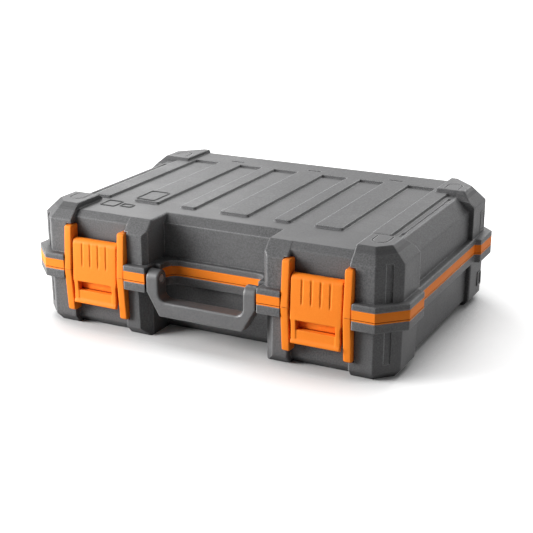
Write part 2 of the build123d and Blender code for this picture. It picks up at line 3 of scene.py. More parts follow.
import bpy
import numpy as np
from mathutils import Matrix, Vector


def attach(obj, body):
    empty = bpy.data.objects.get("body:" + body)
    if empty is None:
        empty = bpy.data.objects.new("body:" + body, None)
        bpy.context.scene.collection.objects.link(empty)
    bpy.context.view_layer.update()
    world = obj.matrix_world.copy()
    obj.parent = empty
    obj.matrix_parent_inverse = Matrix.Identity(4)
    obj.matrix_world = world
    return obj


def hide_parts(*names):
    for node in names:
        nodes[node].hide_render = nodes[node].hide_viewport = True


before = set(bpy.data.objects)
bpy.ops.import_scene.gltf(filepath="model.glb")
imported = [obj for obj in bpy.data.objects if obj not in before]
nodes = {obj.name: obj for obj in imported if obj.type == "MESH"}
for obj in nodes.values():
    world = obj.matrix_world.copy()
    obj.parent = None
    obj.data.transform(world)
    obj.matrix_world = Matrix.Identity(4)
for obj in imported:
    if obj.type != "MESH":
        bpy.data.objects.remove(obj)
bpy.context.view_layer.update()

# Camera
# It stands in front of the right half of the case and a little above it, at the photograph's
# angle and distance.
camera_place = Vector((0.54595, -1.09253, 0.45554))
camera_target = Vector((0.0262, -0.0625, 0.0660))
photo_side = 533.0
focal_pixels = 1164.0
film_width = 36.0
camera_data = bpy.data.cameras.new("camera")
camera_data.sensor_width = film_width
camera_data.lens = focal_pixels / photo_side * film_width
camera = bpy.data.objects.new("camera", camera_data)
camera.location = camera_place
camera_turn = (camera_target - camera_place).to_track_quat("-Z", "Y")
camera.rotation_euler = camera_turn.to_euler()
bpy.context.scene.collection.objects.link(camera)
bpy.context.scene.camera = camera


# Base shell
# The lower tub is one injection moulding in charcoal polypropylene. The mould is spark-eroded,
# so every outer face carries a fine grain. Its edges are paler, partly as rubbed wear and partly as
# painted highlight, and its corners carry painted shade.
def put(tree, kind, feeds=None, **settings):
    """Adds one shader node; feeds gives plain values or other nodes' sockets to its inputs."""
    made = tree.nodes.new(kind)
    for name, value in settings.items():
        setattr(made, name, value)
    for name, value in (feeds or {}).items():
        if isinstance(value, bpy.types.NodeSocket):
            tree.links.new(value, made.inputs[name])
        else:
            made.inputs[name].default_value = value
    return made


def sums(tree, operation, first, second=0.0, kept_small=True):
    """The result of one sum on one or two numbers, kept between 0 and 1 unless told otherwise."""
    feeds = {0: first, 1: second}
    return put(tree, "ShaderNodeMath", feeds, operation=operation, use_clamp=kept_small).outputs[0]


def product(tree, share, *others):
    """Shares from 0 to 1 multiplied together."""
    for other in others:
        share = sums(tree, "MULTIPLY", share, other)
    return share


def between(tree, value, low, high, low_out=0.0, high_out=1.0):
    """A number moved smoothly from one range into another."""
    feeds = {"Value": value, "From Min": low, "From Max": high}
    feeds.update({"To Min": low_out, "To Max": high_out})
    return put(tree, "ShaderNodeMapRange", feeds, interpolation_type="SMOOTHSTEP").outputs["Result"]


def blend_colours(tree, share, first, second):
    """A colour between two others, by a share from 0 to 1."""
    made = put(tree, "ShaderNodeMix", {0: share, 6: first, 7: second}, data_type="RGBA")
    return made.outputs[2]


def noise(tree, place, scale, detail, roughness=0.5):
    """Soft noise from 0 to 1 at a place, with so many bumps to the metre."""
    feeds = {"Vector": place, "Scale": scale, "Detail": detail, "Roughness": roughness}
    return put(tree, "ShaderNodeTexNoise", feeds).outputs["Fac"]


def drawn_noise(tree, place, turn, bumps, detail, roughness=0.5):
    """Noise on a turned place with its own number of bumps to the metre each way."""
    feeds = {"Vector": place, "Rotation": turn, "Scale": bumps}
    drawn = put(tree, "ShaderNodeMapping", feeds).outputs["Vector"]
    return noise(tree, drawn, 1.0, detail, roughness)


def effect(name, inputs, outputs):
    """An empty node group with named inputs and outputs, and its two end nodes."""
    group = bpy.data.node_groups.new(name, "ShaderNodeTree")
    for label, kind, start in inputs:
        made = group.interface.new_socket(label, in_out="INPUT", socket_type="NodeSocket" + kind)
        if start is not None:
            made.default_value = start
    for label, kind in outputs:
        group.interface.new_socket(label, in_out="OUTPUT", socket_type="NodeSocket" + kind)
    given = group.nodes.new("NodeGroupInput").outputs
    return group, given, group.nodes.new("NodeGroupOutput").inputs


def moulded_grain():
    """Spark-eroded grain: cells of one pitch with finer noise on them, as a height and a tone."""
    inputs = (("Place", "Vector", None), ("Pitch", "Float", 0.001))
    group, given, out = effect("moulded grain", inputs, (("Height", "Float"), ("Tone", "Float")))
    count = sums(group, "DIVIDE", 1.0, given["Pitch"], kept_small=False)
    cell_feeds = {"Vector": given["Place"], "Scale": count}
    cells = put(group, "ShaderNodeTexVoronoi", cell_feeds, feature="SMOOTH_F1").outputs["Distance"]
    fine = noise(group, given["Place"], count, detail=3.0, roughness=0.65)
    both = sums(group, "ADD", cells, fine, kept_small=False)
    group.links.new(sums(group, "MULTIPLY", both, 0.5), out["Height"])
    group.links.new(between(group, fine, low=0.34, high=0.66), out["Tone"])
    return group


def soft_edges():
    """Edges rounded over by a radius: the softened normal, and how far it turns from the flat one."""
    outputs = (("Normal", "Vector"), ("Turn", "Float"))
    group, given, out = effect("soft edges", (("Radius", "Float", 0.001),), outputs)
    rounded = put(group, "ShaderNodeBevel", {"Radius": given["Radius"]}, samples=4).outputs["Normal"]
    flat = put(group, "ShaderNodeNewGeometry").outputs["True Normal"]
    likeness = put(group, "ShaderNodeVectorMath", {0: rounded, 1: flat}, operation="DOT_PRODUCT")
    turn = sums(group, "SUBTRACT", 1.0, likeness.outputs["Value"])
    group.links.new(rounded, out["Normal"])
    group.links.new(between(group, turn, low=0.01, high=0.16), out["Turn"])
    return group


def sheltered_corners():
    """Painted shade in inner corners, found by how little of the sky they see, in patches, and deeper
    painted shade in hollows.
    """
    inputs = (("Place", "Vector", None), ("Reach", "Float", 0.01))
    group, given, out = effect("sheltered corners", inputs, (("Corner", "Float"), ("Deep", "Float")))
    reach = {"Distance": given["Reach"]}
    sky = put(group, "ShaderNodeAmbientOcclusion", reach, samples=6).outputs["AO"]
    clouds = noise(group, given["Place"], scale=160.0, detail=2.0)
    painted_shade_share = between(group, clouds, low=0.3, high=0.6, low_out=0.6)
    corner = between(group, sky, low=0.88, high=0.45)
    group.links.new(product(group, corner, painted_shade_share), out["Corner"])
    group.links.new(between(group, sky, low=0.48, high=0.1), out["Deep"])
    return group


def handling_marks():
    """Wide uneven patches of sheen, scattered rub marks, and fine scratches drawn out one way."""
    outputs = (("Patch", "Float"), ("Rub", "Float"), ("Scratch", "Float"))
    group, given, out = effect("handling marks", (("Place", "Vector", None),), outputs)
    place = given["Place"]
    clouds = noise(group, place, scale=14.0, detail=4.0, roughness=0.55)
    wide_bumps = (30.0, 110.0, 60.0)
    thin_bumps = (12.0, 700.0, 300.0)
    wide = drawn_noise(group, place, turn=(0.2, 0.1, 0.25), bumps=wide_bumps, detail=3.0, roughness=0.6)
    thin = drawn_noise(group, place, turn=(0.2, 0.1, 0.6), bumps=thin_bumps, detail=1.0)
    group.links.new(between(group, clouds, low=0.3, high=0.7), out["Patch"])
    group.links.new(between(group, wide, low=0.6, high=0.75), out["Rub"])
    group.links.new(between(group, thin, low=0.7, high=0.78), out["Scratch"])
    return group


grain_effect = moulded_grain()
edge_effect = soft_edges()
corner_effect = sheltered_corners()
marks_effect = handling_marks()


def placed(tree, group, **values):
    """One shared effect placed in a material with its own values."""
    return put(tree, "ShaderNodeGroup", values, node_tree=group).outputs


def coordinate(tree, place, axis):
    """One of the three parts of a place or a direction."""
    return put(tree, "ShaderNodeSeparateXYZ", {"Vector": place}).outputs[axis]


def moulded_plastic(name, finish, own_marks=()):
    """
    A moulded plastic from its colours, sheen and grain. A piece's own marks change the colour, the
    height of the grain, how bare the edges are or how much painted shade shows in the corners, and
    come before the painted shade in corners and hollows and the paler edges, which are partly wear
    and partly painted highlight.
    """
    patch_share = 0.5
    polish_share = 0.5
    polish_gain = 0.12
    scratch_rough = 0.15
    made = bpy.data.materials.new(name)
    made.use_nodes = True
    tree = made.node_tree
    tree.nodes.clear()
    place = put(tree, "ShaderNodeTexCoord").outputs["Object"]
    grain = placed(tree, grain_effect, Place=place, Pitch=finish["grain_pitch"])
    edge = placed(tree, edge_effect, Radius=finish["edge_radius"])
    shade = placed(tree, corner_effect, Place=place, Reach=finish["corner_reach"])
    marks = placed(tree, marks_effect, Place=place)
    patch = product(tree, marks["Patch"], patch_share)
    rub = product(tree, marks["Rub"], finish["rub"])
    toned = blend_colours(tree, grain["Tone"], finish["dark"], finish["colour"])
    toned = blend_colours(tree, patch, toned, finish["patch"])
    toned = blend_colours(tree, rub, toned, finish["dark"])
    face = {"colour": toned, "height": grain["Height"], "corner_share": finish["corner_share"]}
    face["bare"] = sums(tree, "SUBTRACT", 1.0, shade["Corner"])
    for add_mark in own_marks:
        add_mark(tree, place, finish, face)
    # Paler edges: partly rubbed wear and partly painted highlight.
    wear_and_highlight = product(tree, edge["Turn"], face["bare"], finish["edge_share"])
    # Painted shade: inner corners and deep hollows are darkened to the corner and deep colours.
    painted_shade_share = product(tree, shade["Corner"], face["corner_share"])
    toned = blend_colours(tree, painted_shade_share, face["colour"], finish["corner"])
    toned = blend_colours(tree, shade["Deep"], toned, finish["deep"])
    toned = blend_colours(tree, wear_and_highlight, toned, finish["edge"])
    polish = sums(tree, "ADD", patch, product(tree, wear_and_highlight, polish_share))
    smooth = finish["rough"] - polish_gain
    rough = between(tree, polish, 0.0, 1.0, low_out=finish["rough"], high_out=smooth)
    rough = sums(tree, "ADD", rough, product(tree, marks["Scratch"], scratch_rough))
    bump_feeds = {"Height": face["height"], "Normal": edge["Normal"]}
    bump_feeds.update({"Strength": finish["bump"], "Distance": finish["bump_height"]})
    bump = put(tree, "ShaderNodeBump", bump_feeds).outputs["Normal"]
    feeds = {"Base Color": toned, "Roughness": rough, "Normal": bump}
    feeds["Specular IOR Level"] = finish["gloss"]
    shader = put(tree, "ShaderNodeBsdfPrincipled", feeds)
    put(tree, "ShaderNodeOutputMaterial", {"Surface": shader.outputs["BSDF"]})
    return made


def dress(finish, *names):
    """Gives CAD nodes one material."""
    for name in names:
        nodes[name].data.materials.clear()
        nodes[name].data.materials.append(finish)


charcoal = {
    "colour": (0.134, 0.134, 0.136, 1),
    "dark": (0.072, 0.072, 0.074, 1),
    "patch": (0.134, 0.134, 0.136, 1),
    # The edge colour is partly rubbed wear and partly painted highlight.
    "edge": (0.44, 0.44, 0.445, 1),
    # The corner and deep colours are painted shade.
    "corner": (0.043, 0.043, 0.044, 1),
    "deep": (0.023, 0.023, 0.024, 1),
    "rub": 0.35,
    "edge_share": 0.8,
    "corner_share": 0.4,
    "edge_radius": 0.002,
    "corner_reach": 0.007,
    "grain_pitch": 0.0015,
    "bump": 0.6,
    "bump_height": 0.00018,
    "rough": 0.53,
    "gloss": 0.25,
}
foot_shade_top = 0.016
foot_shade_full = 0.001
foot_shade_share = 0.7


def painted_foot_shade(tree, place, finish, face):
    """Painted shade along the tub's foot, darker the nearer the floor."""
    floor_nearness = between(tree, coordinate(tree, place, "Z"), foot_shade_top, foot_shade_full)
    foot_shade = product(tree, floor_nearness, foot_shade_share)
    face["colour"] = blend_colours(tree, foot_shade, face["colour"], finish["corner"])


tub_plastic = moulded_plastic("tub_plastic", charcoal, (painted_foot_shade,))
dress(tub_plastic, "base_shell")

# Base trim
# Two thin orange strips lie on top of the base rim, one round the sides and one round the
# handle recess. They are separate satin mouldings pressed on to the rim.
signal_orange = {
    "colour": (1.0, 0.26, 0.021, 1),
    "dark": (0.96, 0.225, 0.016, 1),
    "patch": (1.0, 0.285, 0.028, 1),
    # The edge colour is partly rubbed wear and partly painted highlight.
    "edge": (1.0, 0.34, 0.075, 1),
    # The corner and deep colours are painted shade, redder and darker than the lit orange.
    "corner": (0.68, 0.055, 0.005, 1),
    "deep": (0.50, 0.024, 0.003, 1),
    "rub": 0.4,
    "edge_share": 0.45,
    "corner_share": 0.35,
    "edge_radius": 0.0009,
    "corner_reach": 0.006,
    "grain_pitch": 0.0009,
    "bump": 0.25,
    "bump_height": 0.00008,
    "rough": 0.55,
    "gloss": 0.15,
}
orange_plastic = moulded_plastic("orange_plastic", signal_orange)
dress(orange_plastic, "base_trim_front", "base_trim_rim")

# Base latch frames
# Each frame is one orange moulding pressed into a bay of the base: two rails either side of the
# latch with their free edges rounded over, a bridge between them and the bar that the latch grips.
sides = (("left", -1), ("right", 1))
mm = 0.001
rim_front = -158.5
parting = 64.0
sharp_from = math.radians(38)
latch_centre = 125.55
latch_half = 26.95
rail_middle = latch_half + 5.4
rail_half = 4.3
rail_far = 16.0
rail_lean = 3.6
rail_round = 2.5
rail_edge = 1.3
rail_narrowing = 0.6
rail_flat = 0.05
rail_points = 8
rail_round_points = 9
bridge_half = latch_half + 1.1
bridge_near = 10.2
bridge_round = 0.4
base_rail_start = -0.3
base_rail_end = -46.5
base_bridge_heights = (-9.0, -0.6)
keeper_near = 8.4
keeper_heights = (-21.1, -12.0)
keeper_round = 0.7
bar_flat = 0.02
bar_round_points = 5


def skin(rings, ring_shut=False):
    """
    Points and faces of a skin over rings of points: each ring joins the next, and the two end
    rings are filled in, or joined to each other when the row of rings is a ring itself. The
    faces are turned outwards by the sign of the volume that they shut in.
    """
    along, around, _ = rings.shape
    number = np.arange(along * around).reshape(along, around)
    here = number if ring_shut else number[:-1]
    there = np.roll(number, -1, 0) if ring_shut else number[1:]
    next_here, next_there = (np.roll(row, -1, 1) for row in (here, there))
    belts = np.stack([here, next_here, next_there, there], -1).reshape(-1, 4)
    points = rings.reshape(-1, 3)
    a, b, c, d = (points[belts[:, k]] - points.mean(0) for k in range(4))
    shut_in = (a * np.cross(b, c)).sum() + (a * np.cross(c, d)).sum()
    blocks = [belts] if ring_shut else [belts, np.stack([number[0, ::-1], number[-1]])]
    return points, [block if shut_in > 0 else block[:, ::-1] for block in blocks]


def make_piece(name, skins, finish, body, slot, *replaced):
    """
    One piece from closed skins. Their points are given in millimetres across the front, back
    from the rim's front and up from the parting, and the mesh holds them in metres in the frame.
    """
    starts = np.cumsum([0] + [len(points) for points, _ in skins])
    points = np.concatenate([points for points, _ in skins]) + [0, rim_front, parting]
    faces = []
    for start, (_, blocks) in zip(starts, skins):
        for block in blocks:
            faces += (block + start).tolist()
    mesh = bpy.data.meshes.new(name)
    mesh.from_pydata((points * mm).tolist(), [], faces)
    mesh.polygons.foreach_set("use_smooth", np.ones(len(faces), bool))
    mesh.set_sharp_from_angle(angle=sharp_from)
    mesh.materials.append(finish)
    piece = bpy.data.objects.new(name, mesh)
    bpy.context.scene.collection.objects.link(piece)
    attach(piece, body)
    if replaced:
        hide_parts(*replaced)


def drawn_in(distance, radius):
    """How far a quarter circle of a radius draws a face in, at a distance from its edge."""
    left = np.clip(radius - distance, 0, radius)
    return radius - np.sqrt(radius**2 - left**2)


def rounded_oblong(half_long, half_wide, radius, steps=6):
    """Points round an oblong with quarter circles at its corners, about its own middle."""
    quarter = np.linspace(0, math.pi / 2, steps)
    turn = np.concatenate([quarter + k * math.pi / 2 for k in range(4)])
    long_side = np.repeat([1, -1, -1, 1], steps)
    wide_side = np.repeat([1, 1, -1, -1], steps)
    long_way = long_side * (half_long - radius) + radius * np.cos(turn)
    wide_way = wide_side * (half_wide - radius) + radius * np.sin(turn)
    return long_way, wide_way, turn


def rail(middle, start, end):
    """
    One rail: an oblong section carried from its start at the parting to its free end. Its front
    leans back on the way, and a quarter circle draws the section in towards the free end.
    """
    straight = np.linspace(abs(end - start), rail_round, rail_points)[:-1]
    quarter = np.linspace(0, math.pi / 2, rail_round_points)
    curved = rail_round * (1 - np.sin(quarter))
    to_end = np.concatenate([straight, curved])
    shrink = drawn_in(to_end, rail_round)[:, None]
    height = (end - np.sign(end) * to_end)[:, None]
    near = rail_lean * np.abs(height / end) + shrink
    half_wide = rail_half - rail_narrowing * shrink
    half_deep = (rail_far - near) / 2
    across, deep, _ = rounded_oblong(half_wide, half_deep, np.minimum(rail_edge, half_wide - rail_flat))
    return skin(np.stack([middle + across, near + half_deep + deep, height + 0 * across], -1))


def cross_bar(x_span, near_span, height_span, radius):
    """A bar across the front: a rounded oblong section carried along X, drawn in at both ends."""
    x0, x1 = x_span
    tip = radius * (1 - np.cos(np.linspace(0, math.pi / 2, bar_round_points)))
    place = np.concatenate([x0 + tip, (x1 - tip)[::-1]])[:, None]
    shrink = drawn_in(np.minimum(place - x0, x1 - place), radius)
    half_deep = (near_span[1] - near_span[0]) / 2 - shrink
    half_tall = (height_span[1] - height_span[0]) / 2 - shrink
    room = np.minimum(half_deep, half_tall) - bar_flat
    deep, tall, _ = rounded_oblong(half_deep, half_tall, np.minimum(radius, room))
    near = sum(near_span) / 2 + deep
    return skin(np.stack([place + 0 * deep, near, sum(height_span) / 2 + tall], -1))


def bridge_span(way):
    """Where the bars between two rails start and end, on one side of the case."""
    return way * latch_centre - bridge_half, way * latch_centre + bridge_half


def railed_bay(way, start, end, bridge_heights):
    """The two rails beside a latch, from the parting to their free ends, and their bridge."""
    rails = [rail(way * latch_centre + edge * rail_middle, start, end) for edge in (-1, 1)]
    return rails + [cross_bar(bridge_span(way), (bridge_near, rail_far), bridge_heights, bridge_round)]


for side, way in sides:
    skins = railed_bay(way, base_rail_start, base_rail_end, base_bridge_heights)
    skins.append(cross_bar(bridge_span(way), (keeper_near, rail_far), keeper_heights, keeper_round))
    node = "base_latch_frame_" + side
    make_piece("base_rails_" + side, skins, orange_plastic, "base", "bright_plastic", node)

# Hinge pins
# A plain blackened steel rod runs through the three barrels of each back hinge. It is held in
# the two outer barrels, which belong to the base.
black_steel = {
    "colour": (0.080, 0.080, 0.083, 1),
    "dark": (0.050, 0.050, 0.052, 1),
    "patch": (0.10, 0.10, 0.10, 1),
    # The edge colour is partly rubbed wear and partly painted highlight.
    "edge": (0.42, 0.42, 0.42, 1),
    # The corner and deep colours are painted shade.
    "corner": (0.04, 0.04, 0.04, 1),
    "deep": (0.02, 0.02, 0.02, 1),
    "rub": 0.4,
    "edge_share": 0.5,
    "corner_share": 0.5,
    "edge_radius": 0.0004,
    "corner_reach": 0.003,
    "grain_pitch": 0.0005,
    "bump": 0.15,
    "bump_height": 0.00004,
    "rough": 0.4,
    "gloss": 0.7,
}
dark_steel = moulded_plastic("dark_steel", black_steel)
dress(dark_steel, "hinge_pin_left", "hinge_pin_right")

# Lid shell
# The upper shell is moulded in the same charcoal as the base. Its ribs and its back border stand
# a little proud and carry a coarser stipple than the channels between them. Painted shade darkens
# the long rib walls, the raised parts towards the front and the grooves along the sides.
channel_height = 0.1236
channel_step = 0.0002
stipple_low = 0.1252
stipple_high = 0.1270
stipple_pitch = 0.0024
stipple_and_shade_dark = (0.07, 0.07, 0.072, 1)
raised_corner_share = 0.6
wall_turn = (0.5, 0.8)
wall_fade = 0.0008
wall_share = 0.9
land_rear = -0.070
land_front = -0.084
land_shares = (0.2, 0.6)
groove_middle = 0.1783
groove_half = 0.0023
groove_fade = 0.0008
groove_shade_depth = 0.0012
groove_end = 0.092
groove_end_fade = 0.006
groove_share = 0.8


def raised(tree, place, low_out=0.0, high_out=1.0):
    """One value up to the floor of the lid's channels and another on all that stands above it."""
    up = coordinate(tree, place, "Z")
    return between(tree, up, channel_height, channel_height + channel_step, low_out, high_out)


def coarse_stipple(tree, place, finish, face):
    """A coarser grain on the tops of the ribs and the border, in colour and in height, and more painted
    shade in the corners of all that stands above the channels.
    """
    up = coordinate(tree, place, "Z")
    above = sums(tree, "GREATER_THAN", up, stipple_low)
    band = product(tree, above, sums(tree, "LESS_THAN", up, stipple_high))
    coarse = placed(tree, grain_effect, Place=place, Pitch=stipple_pitch)
    face["colour"] = blend_colours(tree, product(tree, band, coarse["Tone"]), face["colour"], stipple_and_shade_dark)
    lifted = sums(tree, "MULTIPLY", coarse["Height"], band, kept_small=False)
    face["height"] = sums(tree, "ADD", face["height"], lifted, kept_small=False)
    face["corner_share"] = raised(tree, place, face["corner_share"], raised_corner_share)


def rib_wall_shade(tree, place, finish, face):
    """Painted shade on the steep walls along the ribs, whose edges get none of the paler edge colour."""
    flat = put(tree, "ShaderNodeNewGeometry").outputs["True Normal"]
    across = sums(tree, "ABSOLUTE", coordinate(tree, flat, "X"))
    below = between(tree, coordinate(tree, place, "Z"), stipple_high, stipple_high - wall_fade)
    wall = product(tree, between(tree, across, *wall_turn), raised(tree, place), below)
    face["colour"] = blend_colours(tree, product(tree, wall, wall_share), face["colour"], finish["corner"])
    face["bare"] = sums(tree, "SUBTRACT", face["bare"], wall)


def front_shade(tree, place, finish, face):
    """Painted shade: what stands above the channels is darker towards the front."""
    land = between(tree, coordinate(tree, place, "Y"), land_rear, land_front, *land_shares)
    land = product(tree, land, raised(tree, place))
    face["colour"] = blend_colours(tree, land, face["colour"], stipple_and_shade_dark)


def groove_shade(tree, place, finish, face):
    """Broken lines of painted shade in the long groove on each side of the lid."""
    aside = sums(tree, "ABSOLUTE", coordinate(tree, place, "X"))
    along = sums(tree, "ABSOLUTE", coordinate(tree, place, "Y"))
    inner = groove_middle - groove_half
    outer = groove_middle + groove_half
    groove = product(
        tree,
        between(tree, aside, inner, inner + groove_fade),
        between(tree, aside, outer, outer - groove_fade),
        between(tree, coordinate(tree, place, "Z"), channel_height - groove_shade_depth, channel_height),
        between(tree, noise(tree, place, scale=60.0, detail=1.0), low=0.36, high=0.46),
        between(tree, along, groove_end, groove_end - groove_end_fade),
        groove_share,
    )
    face["colour"] = blend_colours(tree, groove, face["colour"], finish["corner"])


# The lid's painted corner shade is darker than the base's.
stippled = dict(charcoal, corner_share=0.3, corner=(0.026, 0.026, 0.027, 1))
lid_marks = (coarse_stipple, rib_wall_shade, front_shade, groove_shade)
lid_plastic = moulded_plastic("lid_plastic", stippled, lid_marks)
dress(lid_plastic, "lid_shell")

# Lid trim
# The broad orange band under the lid rim is moulded in the same two lengths as the base trim.
# The length in the handle recess also holds the handle's pins.
dress(orange_plastic, "lid_trim_front", "lid_trim_rim")

# Raised frames
# Plain rounded frames are moulded a hair above the shells: three at the lid's front left corner,
# where such a case has room for a tag, and one on each rear bumper of lid and base. The three tag
# frames are coloured near black as painted shade.
frame_rise = 0.9
frame_half_wide = 1.0
frame_section_points = 12
rear_bumper_side = 202.7


def raised_frame(long_span, wide_span, corner):
    """
    A frame on the ground: an oval section carried round an oblong, half of it above the face.
    The section's own angle and the way round the oblong are the two parameters.
    """
    half_long = (long_span[1] - long_span[0]) / 2
    half_wide = (wide_span[1] - wide_span[0]) / 2
    along, aside, turn = (v[:, None] for v in rounded_oblong(half_long, half_wide, corner))
    angle = np.linspace(0, 2 * math.pi, frame_section_points, endpoint=False)[None, :]
    out = frame_half_wide * np.cos(angle)
    rise = frame_rise * np.sin(angle) + 0 * along
    long_way = sum(long_span) / 2 + along + out * np.cos(turn)
    wide_way = sum(wide_span) / 2 + aside + out * np.sin(turn)
    return long_way, wide_way, rise


def lid_frame(x_span, near_span, height, corner):
    """A raised frame lying on the lid at a height."""
    x, near, rise = raised_frame(x_span, near_span, corner)
    return skin(np.stack([x, near, height + rise], -1), ring_shut=True)


def side_frame(near_span, height_span, way, corner=1.5):
    """A raised frame standing on the outer side of a rear bumper."""
    near, height, rise = raised_frame(near_span, height_span, corner)
    return skin(np.stack([way * (rear_bumper_side + rise), near, height], -1), ring_shut=True)


# The tag frames' near-black colour is painted shade.
tag_frame_shade_charcoal = dict(charcoal, edge_radius=0.0004, edge_share=0.15)
tag_frame_shade_charcoal["colour"] = (0.04, 0.04, 0.041, 1)
tag_frame_shade_charcoal["dark"] = (0.024, 0.024, 0.025, 1)
tag_frame_shade_charcoal["patch"] = (0.048, 0.048, 0.049, 1)
tag_frame_shade_plastic = moulded_plastic("tag_frame_shade_plastic", tag_frame_shade_charcoal)
tag_frames = [
    lid_frame(x_span=(-120, -98), near_span=(77, 110), height=62.5, corner=2.5),
    lid_frame(x_span=(-146, -129), near_span=(47, 66), height=60.0, corner=2.0),
    lid_frame(x_span=(-124, -111), near_span=(51, 60), height=60.0, corner=1.5),
]
lid_side_frames = [side_frame(near_span=(267, 280), height_span=(18, 40), way=way) for _, way in sides]
base_side_frames = [side_frame(near_span=(269, 280), height_span=(-46, -31), way=way) for _, way in sides]
make_piece("lid_tag_frames", tag_frames, tag_frame_shade_plastic, "lid", "grey_plastic")
make_piece("lid_side_frames", lid_side_frames, lid_plastic, "lid", "grey_plastic")
make_piece("base_side_frames", base_side_frames, tub_plastic, "base", "grey_plastic")

# Lid latch frames
# The upper rails carry on from the base rails above the parting. Each pair is one orange moulding
# with its bridge, pressed into a bay of the lid, and holds a latch pin.
lid_rail_start = 0.0
lid_rail_end = 46.6
lid_bridge_heights = (0.0, 9.0)
for side, way in sides:
    skins = railed_bay(way, lid_rail_start, lid_rail_end, lid_bridge_heights)
    node = "lid_latch_frame_" + side
    make_piece("lid_rails_" + side, skins, orange_plastic, "lid", "bright_plastic", node)

# Latches
# Each latch is a thick orange plate turning on a pin at its top. Four finger flutes run down its
# face, a slot below them shows the bar that its hook grips, and its lower edge flares out.
pivot_near = 9.0
pivot_height = 28.0
barrel = 6.0
barrel_turn = 1.48
latch_low = -35.5
plate_far = 8.0
plate_edge = 1.3
plate_least = 0.3
slot_half = 20.5
slot_low = -21.3
slot_high = -11.6
slot_edge = 0.9
waist = -27.0
foot_lean = 1.3
foot_lean_heights = (slot_high + 3, waist)
foot_narrow = 1.0
foot_narrow_heights = (slot_high + 1, slot_high - 1)
foot_narrow_sides = (slot_half + 1, latch_half)
foot_thinning = 5.0
foot_thin_height = 12.0
flare = 1.3
flare_heights = (waist - 3.5, latch_low + 2)
flute_count = 4
flute_pitch = 9.8
flute_half = 1.45
flute_depth = 0.65
flute_foot = 4.5
flute_taper = 0.2
flute_fullness = 0.7
flute_foot_heights = (flute_foot, flute_foot + 2)
flute_top_heights = (pivot_height + 3.5, pivot_height - 1)
hollow_depth = 0.5
hollow_sides = (slot_half + 0.6, slot_half - 0.6)
hollow_foot_heights = (slot_low - 10.5, slot_low - 8.5)
hollow_top_heights = (slot_low + 0.1, slot_low - 0.6)
hook_tall = 5.0
hook_inset = 1.5
hook_near = 6.2
hook_far = 14.0
hook_round = 0.8
hair = 1e-6
edge_steps = np.array([0, 0.1, 0.3, 0.55, 0.9, 1.3])
edge_clear = 2
across_flute_points = 15
across_slot_points = 21
up_barrel_points = 16
up_face_points = 30
up_slot_points = 5
up_foot_points = 14


def ramp(value, low, high):
    """A smooth step from 0 to 1 between two values."""
    part = np.clip((value - low) / (high - low), 0, 1)
    return part * part * (3 - 2 * part)


def flute_middles():
    """Where the flutes run, across the plate from its middle."""
    return (np.arange(flute_count) - (flute_count - 1) / 2) * flute_pitch


def latch_face(x, height):
    """
    How far back the front of the plate stands, at a place on it. The face leans to the barrel's
    front, flares at the foot, and is drawn in by the flutes, the hollow under the slot, the
    slot's rim and the outer edges.
    """
    lean = (pivot_near - barrel) * np.clip((height - waist) / (pivot_height - waist), 0, None)
    round_top = pivot_near - np.sqrt(np.clip(barrel**2 - (height - pivot_height) ** 2, 0, None))
    near = np.where(height > pivot_height, round_top, lean)
    near = near + foot_lean * ramp(height, *foot_lean_heights) - flare * ramp(height, *flare_heights)
    from_flute = np.abs(x[..., None] - flute_middles()).min(-1)
    reach = flute_half * (1 - flute_taper + flute_taper * ramp(height, flute_foot, pivot_height))
    groove = np.clip(1 - (from_flute / reach) ** 2, 0, 1) ** flute_fullness
    groove = groove * ramp(height, *flute_foot_heights) * ramp(height, *flute_top_heights)
    beside = np.maximum(np.abs(x) - slot_half, 0)
    beyond = np.maximum(np.maximum(height - slot_high, slot_low - height), 0)
    rim = drawn_in(np.hypot(beside, beyond), slot_edge)
    outer = drawn_in(np.minimum(latch_half - np.abs(x), height - latch_low), plate_edge)
    hollow = ramp(height, *hollow_foot_heights) * ramp(height, *hollow_top_heights)
    hollow = hollow_depth * hollow * ramp(np.abs(x), *hollow_sides)
    return near + flute_depth * groove + rim + outer + hollow


def latch_back(height):
    """How far back the rear of the plate stands: flat, round at the barrel, thin at the foot."""
    barrel_back = pivot_near + np.sqrt(np.clip(barrel**2 - (height - pivot_height) ** 2, 0, None))
    thinning = foot_thinning * ramp(height, latch_low + foot_thin_height, latch_low)
    return np.where(height > pivot_height - barrel, barrel_back, plate_far - thinning)


def plate_grid():
    """
    Places across and up the plate, close together at its edges, at the slot's rim, over the
    flutes and round the barrel.
    """
    over_flutes = flute_middles()[:, None] + np.linspace(-1, 1, across_flute_points) * flute_half
    across = [over_flutes.ravel(), np.linspace(-slot_half, slot_half, across_slot_points)]
    for side in (-1, 1):
        across.append(side * (latch_half - edge_steps))
        across.append(side * (slot_half + edge_steps))
        across.append(side * (slot_half - edge_steps))
    round_barrel = pivot_height + barrel * np.sin(np.linspace(0, barrel_turn, up_barrel_points))
    up = [round_barrel, latch_low + edge_steps, slot_low - edge_steps, slot_high + edge_steps]
    up.append(np.linspace(slot_high + edge_clear, pivot_height, up_face_points))
    up.append(np.linspace(slot_low, slot_high, up_slot_points))
    up.append(np.linspace(latch_low + edge_clear, slot_low - edge_clear, up_foot_points))
    return np.unique(np.concatenate(across).round(3)), np.unique(np.concatenate(up).round(3))


